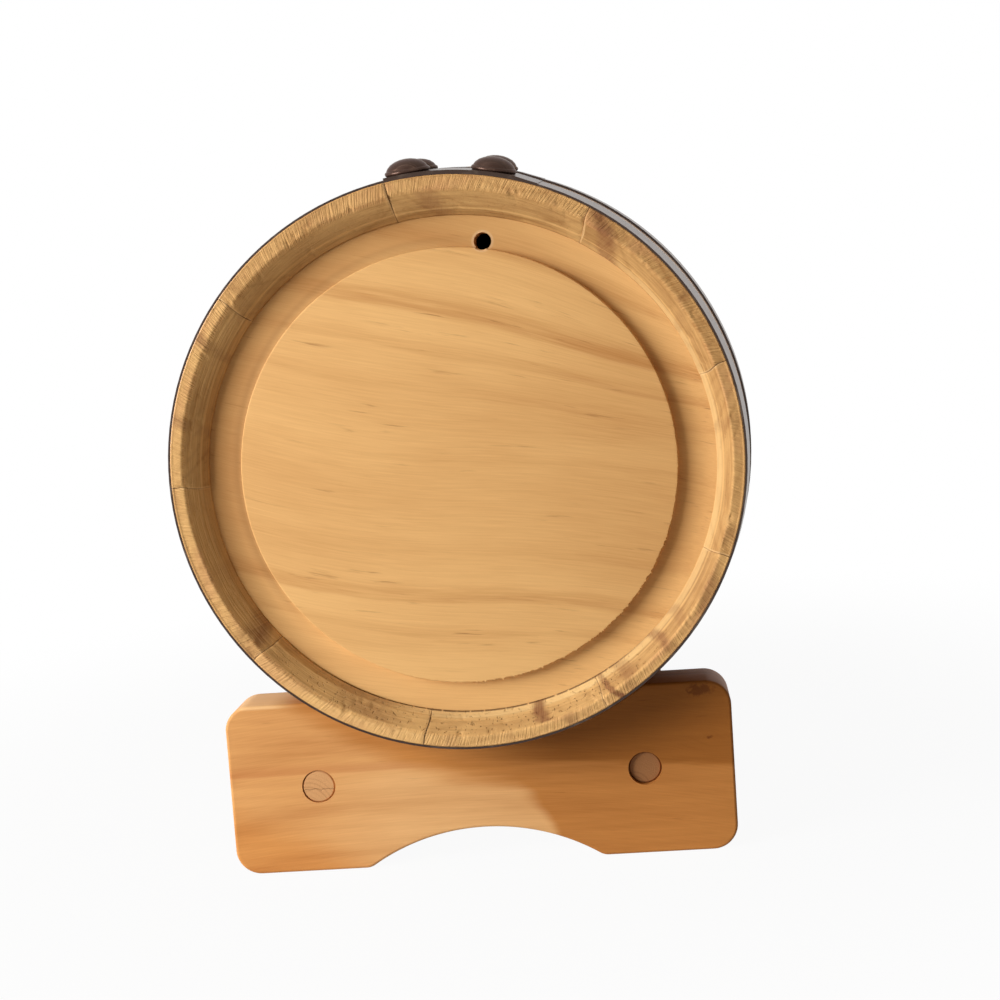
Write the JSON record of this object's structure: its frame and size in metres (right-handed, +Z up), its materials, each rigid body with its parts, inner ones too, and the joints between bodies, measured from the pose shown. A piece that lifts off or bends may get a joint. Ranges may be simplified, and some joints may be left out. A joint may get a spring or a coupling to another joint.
{
  "type": "cask drink dispenser",
  "caption": "Small coopered wooden cask lying in a doweled board stand, with a quarter-turn brass tap in its front head, a low bung on top and a vent hole in its back head.",
  "frame": {"origin": "on the ground under the middle of the whole object, halfway from the spout's front to the rear rim and under the cask's axis", "axes": "+Z up, -Y towards the tap at the front, +X to the right as seen from the front"},
  "size_m": [0.1768, 0.2376, 0.2148],
  "materials": {
    "stave_wood": "pale softwood staves, gloss lacquer outside, raw sawn end grain at the rims",
    "head_wood": "pale pine, sanded and left matt, grain across",
    "stand_wood": "orange-brown pine, satin lacquer, grain across",
    "dowel_wood": "turned softwood rod, end grain showing at the boards",
    "hoop_steel": "dark brown bronzed steel strip",
    "rivet_bronze": "dark brown, half gloss",
    "bung_wood": "turned softwood, matt",
    "tap_brass": "aged brass, polished on the edges",
    "gasket_rubber": "black rubber"
  },
  "bodies": {
    "stand": {"rear_board": "stand_wood", "front_board": "stand_wood", "left_dowel": "dowel_wood", "right_dowel": "dowel_wood"},
    "cask": {"bung_stave": "stave_wood", "stave_2": "stave_wood", "stave_3": "stave_wood", "stave_4": "stave_wood", "stave_5": "stave_wood", "stave_6": "stave_wood", "stave_7": "stave_wood", "stave_8": "stave_wood", "stave_9": "stave_wood", "rear_head": "head_wood", "front_head": "head_wood", "rear_head_hoop": "hoop_steel", "rear_quarter_hoop": "hoop_steel", "front_head_hoop": "hoop_steel", "front_quarter_hoop": "hoop_steel", "rear_head_hoop_rivets": "rivet_bronze", "rear_quarter_hoop_rivets": "rivet_bronze", "front_head_hoop_rivets": "rivet_bronze", "front_quarter_hoop_rivets": "rivet_bronze", "tap_body": "tap_brass", "stop_pin": "tap_brass", "outer_gasket": "gasket_rubber", "inner_gasket": "gasket_rubber", "lock_nut": "tap_brass"},
    "tap_key": {"tap_plug": "tap_brass", "tap_handle": "tap_brass", "cap_nut": "tap_brass", "plug_washer": "tap_brass", "plug_nut": "tap_brass"},
    "bung": {"bung": "bung_wood"}
  },
  "joints": [
    {"name": "cask_lift", "type": "slide", "parent": "stand", "child": "cask", "axis": [0, 0, 1], "range_m": [0, 0.06]},
    {"name": "tap_turn", "type": "hinge", "parent": "cask", "child": "tap_key", "pos_m": [0, -0.0936, 0.071], "axis": [0, 0, 1], "range_deg": [0, 90]},
    {"name": "bung_pull", "type": "slide", "parent": "cask", "child": "bung", "axis": [0, 0, 1], "range_m": [0, 0.03]}
  ]
}
